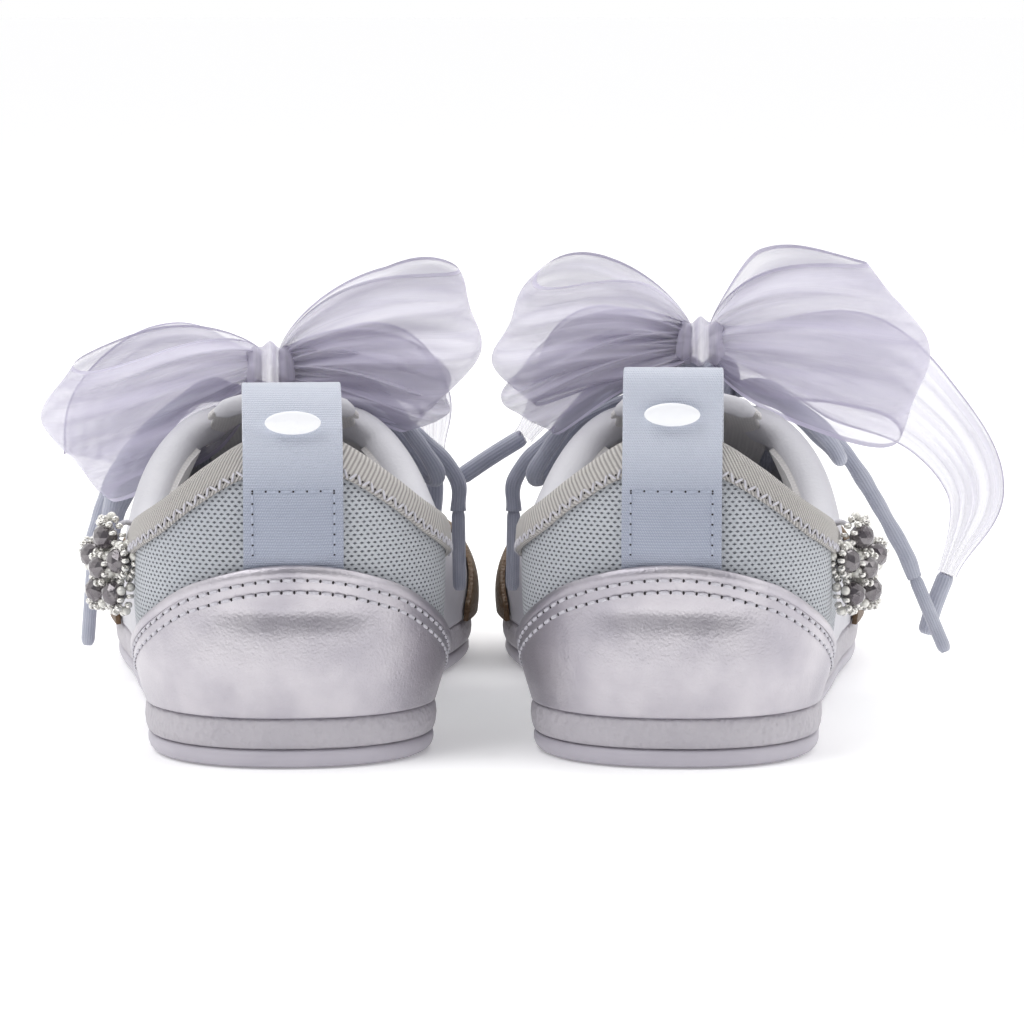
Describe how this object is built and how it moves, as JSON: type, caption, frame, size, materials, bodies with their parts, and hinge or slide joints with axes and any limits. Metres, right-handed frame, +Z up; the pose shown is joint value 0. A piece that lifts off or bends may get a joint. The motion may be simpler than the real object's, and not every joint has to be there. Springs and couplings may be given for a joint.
{
  "type": "cheer shoes",
  "caption": "Pair of low lace-up cheer shoes: mesh and metallic leather uppers, thin soles, webbing heel tabs, organza ribbon bows and beaded flowers.",
  "frame": {"origin": "on the floor, midway between the two shoes and midway from heel to toe", "axes": "+Y from the heels to the toes, +Z up, +X to the right shoe"},
  "size_m": [0.2503, 0.2586, 0.1048],
  "materials": {
    "rubber_sole": "smooth matt lilac-grey rubber",
    "foam_sole": "pebbled lilac-grey foam",
    "gum_rubber": "satin gum rubber",
    "board": "fibre board",
    "insole_fabric": "knit on foam",
    "silver_leather": "metallic silver, fine grain",
    "pale_leather": "off-white, smooth",
    "spacer_mesh": "grey open mesh",
    "lining_fabric": "off-white padded knit",
    "binding_tape": "ribbed twill tape",
    "webbing": "blue-grey satin webbing",
    "satin_lace": "grey-lilac satin",
    "organza": "sheer pale lilac organza",
    "crystal_beads": "clear and silver-lined beads with smoky crystals",
    "thread": "white thread"
  },
  "bodies": {
    "left_shoe": {"left_outsole": "rubber_sole", "left_midsole": "foam_sole", "left_insole_board": "board", "left_sockliner": "insole_fabric", "left_heel_counter": "silver_leather", "left_counter_stiffener": "board", "left_quarter": "spacer_mesh", "left_collar_lining": "lining_fabric", "left_collar_binding": "binding_tape", "left_vamp": "pale_leather", "left_eyestay_outer": "pale_leather", "left_eyestay_inner": "pale_leather", "left_toe_guard": "gum_rubber", "left_tab_strap": "webbing", "left_lacing": "satin_lace", "left_organza_knot": "organza", "left_organza_loop_outer": "organza", "left_organza_loop_inner": "organza", "left_organza_tail_outer": "organza", "left_organza_tail_inner": "organza", "left_satin_loop_outer": "satin_lace", "left_satin_tail_outer": "satin_lace", "left_aglet_outer": "satin_lace", "left_satin_loop_inner": "satin_lace", "left_satin_tail_inner": "satin_lace", "left_aglet_inner": "satin_lace", "left_charm_shank": "thread"},
    "left_tab": {"left_tab_loop": "webbing"},
    "left_tongue": {"left_tongue": "lining_fabric"},
    "left_flower": {"left_charm_flower": "crystal_beads"},
    "right_shoe": {"right_outsole": "rubber_sole", "right_midsole": "foam_sole", "right_insole_board": "board", "right_sockliner": "insole_fabric", "right_heel_counter": "silver_leather", "right_counter_stiffener": "board", "right_quarter": "spacer_mesh", "right_collar_lining": "lining_fabric", "right_collar_binding": "binding_tape", "right_vamp": "pale_leather", "right_eyestay_outer": "pale_leather", "right_eyestay_inner": "pale_leather", "right_toe_guard": "gum_rubber", "right_tab_strap": "webbing", "right_lacing": "satin_lace", "right_organza_knot": "organza", "right_organza_loop_outer": "organza", "right_organza_loop_inner": "organza", "right_organza_tail_outer": "organza", "right_organza_tail_inner": "organza", "right_satin_loop_outer": "satin_lace", "right_satin_tail_outer": "satin_lace", "right_aglet_outer": "satin_lace", "right_satin_loop_inner": "satin_lace", "right_satin_tail_inner": "satin_lace", "right_aglet_inner": "satin_lace", "right_charm_shank": "thread"},
    "right_tab": {"right_tab_loop": "webbing"},
    "right_tongue": {"right_tongue": "lining_fabric"},
    "right_flower": {"right_charm_flower": "crystal_beads"}
  },
  "joints": [
    {"name": "right_shoe_lift", "type": "slide", "parent": "left_shoe", "child": "right_shoe", "axis": [0, 0, 1], "range_m": [0, 0.15]},
    {"name": "left_tab_lean", "type": "hinge", "parent": "left_shoe", "child": "left_tab", "pos_m": [-0.04189, -0.12508, 0.07584], "axis": [-0.9976, -0.0698, 0], "range_deg": [-20, 25]},
    {"name": "left_tongue_sink", "type": "hinge", "parent": "left_shoe", "child": "left_tongue", "pos_m": [-0.04986, 0.04404, 0.04306], "axis": [0.9976, 0.0698, 0], "range_deg": [0, 6]},
    {"name": "left_flower_swing", "type": "hinge", "parent": "left_shoe", "child": "left_flower", "pos_m": [-0.0848, -0.07596, 0.0475], "axis": [-0.0953, 0.9954, 0], "range_deg": [0, 20]},
    {"name": "right_tab_lean", "type": "hinge", "parent": "right_shoe", "child": "right_tab", "pos_m": [0.04189, -0.12508, 0.07584], "axis": [-0.9976, 0.0698, 0], "range_deg": [-20, 25]},
    {"name": "right_tongue_sink", "type": "hinge", "parent": "right_shoe", "child": "right_tongue", "pos_m": [0.04986, 0.04404, 0.04306], "axis": [0.9976, -0.0698, 0], "range_deg": [0, 6]},
    {"name": "right_flower_swing", "type": "hinge", "parent": "right_shoe", "child": "right_flower", "pos_m": [0.0848, -0.07596, 0.0475], "axis": [-0.0953, -0.9954, 0], "range_deg": [0, 20]}
  ]
}
